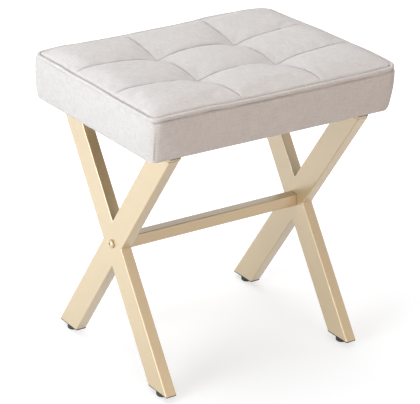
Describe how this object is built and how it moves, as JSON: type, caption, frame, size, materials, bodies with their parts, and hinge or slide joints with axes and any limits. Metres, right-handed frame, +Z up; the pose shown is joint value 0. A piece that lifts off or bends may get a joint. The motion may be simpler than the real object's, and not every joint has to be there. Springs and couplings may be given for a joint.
{
  "type": "vanity stool",
  "caption": "Backless vanity stool: a quilted box seat pad on two welded metal X frames joined by a stretcher, on levelling glides.",
  "frame": {"origin": "on the floor, under the middle of the seat, where the glides stand", "axes": "+X along the stretcher towards the right X frame, +Y towards the back, +Z up"},
  "size_m": [0.457, 0.341, 0.48],
  "materials": {
    "frame_paint": "satin",
    "zinc_steel": "satin",
    "black_plastic": "matte",
    "seat_fabric": "matte",
    "dust_lining": "matte",
    "polyester_wadding": "matte",
    "foam": "matte",
    "plywood": "matte"
  },
  "bodies": {
    "stool": {"left_through_leg": "frame_paint", "left_upper_half_leg": "frame_paint", "left_lower_half_leg": "frame_paint", "left_top_bar": "frame_paint", "right_through_leg": "frame_paint", "right_upper_half_leg": "frame_paint", "right_lower_half_leg": "frame_paint", "right_top_bar": "frame_paint", "stretcher": "frame_paint", "stretcher_plug_left": "zinc_steel", "stretcher_bolt_left": "frame_paint", "stretcher_bush_left": "zinc_steel", "stretcher_plug_right": "zinc_steel", "stretcher_bolt_right": "frame_paint", "stretcher_bush_right": "zinc_steel", "foot_cap_front_left": "black_plastic", "foot_nut_front_left": "zinc_steel", "foot_cap_back_left": "black_plastic", "foot_nut_back_left": "zinc_steel", "foot_cap_front_right": "black_plastic", "foot_nut_front_right": "zinc_steel", "foot_cap_back_right": "black_plastic", "foot_nut_back_right": "zinc_steel", "seat_board": "plywood", "cover_top": "seat_fabric", "wadding": "polyester_wadding", "foam_core": "foam", "cover_band": "seat_fabric", "welt": "seat_fabric", "dust_cover": "dust_lining", "seat_bolt_front_left": "zinc_steel", "seat_washer_front_left": "zinc_steel", "tee_nut_front_left": "zinc_steel", "seat_bolt_back_left": "zinc_steel", "seat_washer_back_left": "zinc_steel", "tee_nut_back_left": "zinc_steel", "seat_bolt_front_right": "zinc_steel", "seat_washer_front_right": "zinc_steel", "tee_nut_front_right": "zinc_steel", "seat_bolt_back_right": "zinc_steel", "seat_washer_back_right": "zinc_steel", "tee_nut_back_right": "zinc_steel", "tuft_twine_1": "dust_lining", "tuft_twine_2": "dust_lining", "tuft_twine_3": "dust_lining", "tuft_twine_4": "dust_lining"},
    "pad_front_left": {"glide_pad_front_left": "black_plastic"},
    "stud_front_left": {"glide_stud_front_left": "zinc_steel"},
    "pad_front_right": {"glide_pad_front_right": "black_plastic"},
    "stud_front_right": {"glide_stud_front_right": "zinc_steel"},
    "pad_back_left": {"glide_pad_back_left": "black_plastic"},
    "stud_back_left": {"glide_stud_back_left": "zinc_steel"},
    "pad_back_right": {"glide_pad_back_right": "black_plastic"},
    "stud_back_right": {"glide_stud_back_right": "zinc_steel"}
  },
  "joints": [
    {"name": "height_front_left", "type": "slide", "parent": "stool", "child": "pad_front_left", "axis": [0, 0, -1], "range_m": [0, 0.008]},
    {"name": "turn_front_left", "type": "hinge", "parent": "pad_front_left", "child": "stud_front_left", "pos_m": [-0.174, -0.13263, 0.0098], "axis": [0, 0, -1], "range_deg": [0, 2880]},
    {"name": "height_front_right", "type": "slide", "parent": "stool", "child": "pad_front_right", "axis": [0, 0, -1], "range_m": [0, 0.008]},
    {"name": "turn_front_right", "type": "hinge", "parent": "pad_front_right", "child": "stud_front_right", "pos_m": [0.174, -0.13263, 0.0098], "axis": [0, 0, -1], "range_deg": [0, 2880]},
    {"name": "height_back_left", "type": "slide", "parent": "stool", "child": "pad_back_left", "axis": [0, 0, -1], "range_m": [0, 0.008]},
    {"name": "turn_back_left", "type": "hinge", "parent": "pad_back_left", "child": "stud_back_left", "pos_m": [-0.174, 0.13263, 0.0098], "axis": [0, 0, -1], "range_deg": [0, 2880]},
    {"name": "height_back_right", "type": "slide", "parent": "stool", "child": "pad_back_right", "axis": [0, 0, -1], "range_m": [0, 0.008]},
    {"name": "turn_back_right", "type": "hinge", "parent": "pad_back_right", "child": "stud_back_right", "pos_m": [0.174, 0.13263, 0.0098], "axis": [0, 0, -1], "range_deg": [0, 2880]}
  ],
  "couplings": [
    {"joint": "turn_front_left", "follows": "height_front_left", "rad_per_m": 6283.2},
    {"joint": "turn_front_right", "follows": "height_front_right", "rad_per_m": 6283.2},
    {"joint": "turn_back_left", "follows": "height_back_left", "rad_per_m": 6283.2},
    {"joint": "turn_back_right", "follows": "height_back_right", "rad_per_m": 6283.2}
  ]
}
